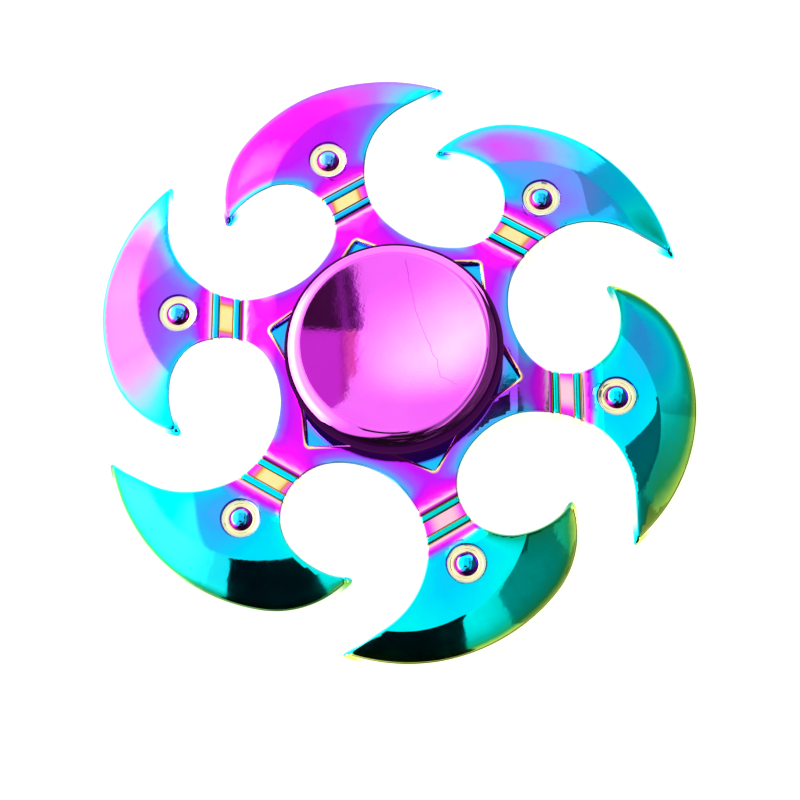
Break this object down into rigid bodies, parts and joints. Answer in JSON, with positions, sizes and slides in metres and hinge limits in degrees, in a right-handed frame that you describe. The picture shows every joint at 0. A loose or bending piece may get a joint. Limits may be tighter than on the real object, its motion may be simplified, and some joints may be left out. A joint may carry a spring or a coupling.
{
  "type": "fidget spinner",
  "caption": "Swept-blade metal fidget spinner with a rainbow-plated frame turning on a ball bearing between dished finger caps.",
  "frame": {"origin": "on the spin axis at the middle of the bearing, half way between the two cap rims", "axes": "+Z along the spin axis, +Y along the first blade; both faces are alike"},
  "size_m": [0.0762, 0.077, 0.0154],
  "materials": {
    "plated_frame": "mirror-polished zinc with a rainbow oil-slick plating, magenta to cyan to green",
    "plated_cap": "mirror-polished with a magenta-pink plating",
    "eye_mirror": "mirror-polished dome, blue-teal plating",
    "bearing_steel": "ground and honed",
    "ball_steel": "mirror-polished",
    "cage_steel": "tumbled pressed steel",
    "shield_steel": "bright pressed sheet",
    "spring_steel": "drawn wire"
  },
  "bodies": {
    "hub": {"inner_race": "bearing_steel", "top_cap": "plated_cap", "bottom_cap": "plated_cap"},
    "rotor": {"frame": "plated_frame", "eye_rivet_1": "eye_mirror", "eye_rivet_2": "eye_mirror", "eye_rivet_3": "eye_mirror", "eye_rivet_4": "eye_mirror", "eye_rivet_5": "eye_mirror", "eye_rivet_6": "eye_mirror", "outer_race": "bearing_steel", "shield_upper": "shield_steel", "shield_lower": "shield_steel", "snap_ring_upper": "spring_steel", "snap_ring_lower": "spring_steel"},
    "cage": {"cage_upper": "cage_steel", "cage_lower": "cage_steel", "cage_rivets": "cage_steel"},
    "ball_1": {"ball_1": "ball_steel"},
    "ball_2": {"ball_2": "ball_steel"},
    "ball_3": {"ball_3": "ball_steel"},
    "ball_4": {"ball_4": "ball_steel"},
    "ball_5": {"ball_5": "ball_steel"},
    "ball_6": {"ball_6": "ball_steel"},
    "ball_7": {"ball_7": "ball_steel"}
  },
  "joints": [
    {"name": "frame_spin", "type": "hinge", "parent": "hub", "child": "rotor", "pos_m": [0, 0, 0], "axis": [0, 0, 1], "continuous": true},
    {"name": "cage_orbit", "type": "hinge", "parent": "hub", "child": "cage", "pos_m": [0, 0, 0], "axis": [0, 0, 1], "continuous": true},
    {"name": "ball_1_spin", "type": "hinge", "parent": "cage", "child": "ball_1", "pos_m": [0.0075, 0, 0], "axis": [0, 0, 1], "continuous": true},
    {"name": "ball_2_spin", "type": "hinge", "parent": "cage", "child": "ball_2", "pos_m": [0.00468, 0.00586, 0], "axis": [0, 0, 1], "continuous": true},
    {"name": "ball_3_spin", "type": "hinge", "parent": "cage", "child": "ball_3", "pos_m": [-0.00167, 0.00731, 0], "axis": [0, 0, 1], "continuous": true},
    {"name": "ball_4_spin", "type": "hinge", "parent": "cage", "child": "ball_4", "pos_m": [-0.00676, 0.00325, 0], "axis": [0, 0, 1], "continuous": true},
    {"name": "ball_5_spin", "type": "hinge", "parent": "cage", "child": "ball_5", "pos_m": [-0.00676, -0.00325, 0], "axis": [0, 0, 1], "continuous": true},
    {"name": "ball_6_spin", "type": "hinge", "parent": "cage", "child": "ball_6", "pos_m": [-0.00167, -0.00731, 0], "axis": [0, 0, 1], "continuous": true},
    {"name": "ball_7_spin", "type": "hinge", "parent": "cage", "child": "ball_7", "pos_m": [0.00468, -0.00586, 0], "axis": [0, 0, 1], "continuous": true}
  ],
  "couplings": [
    {"joint": "cage_orbit", "follows": "frame_spin", "ratio": 0.6323},
    {"joint": "ball_1_spin", "follows": "frame_spin", "ratio": 1.7573},
    {"joint": "ball_2_spin", "follows": "frame_spin", "ratio": 1.7573},
    {"joint": "ball_3_spin", "follows": "frame_spin", "ratio": 1.7573},
    {"joint": "ball_4_spin", "follows": "frame_spin", "ratio": 1.7573},
    {"joint": "ball_5_spin", "follows": "frame_spin", "ratio": 1.7573},
    {"joint": "ball_6_spin", "follows": "frame_spin", "ratio": 1.7573},
    {"joint": "ball_7_spin", "follows": "frame_spin", "ratio": 1.7573}
  ]
}
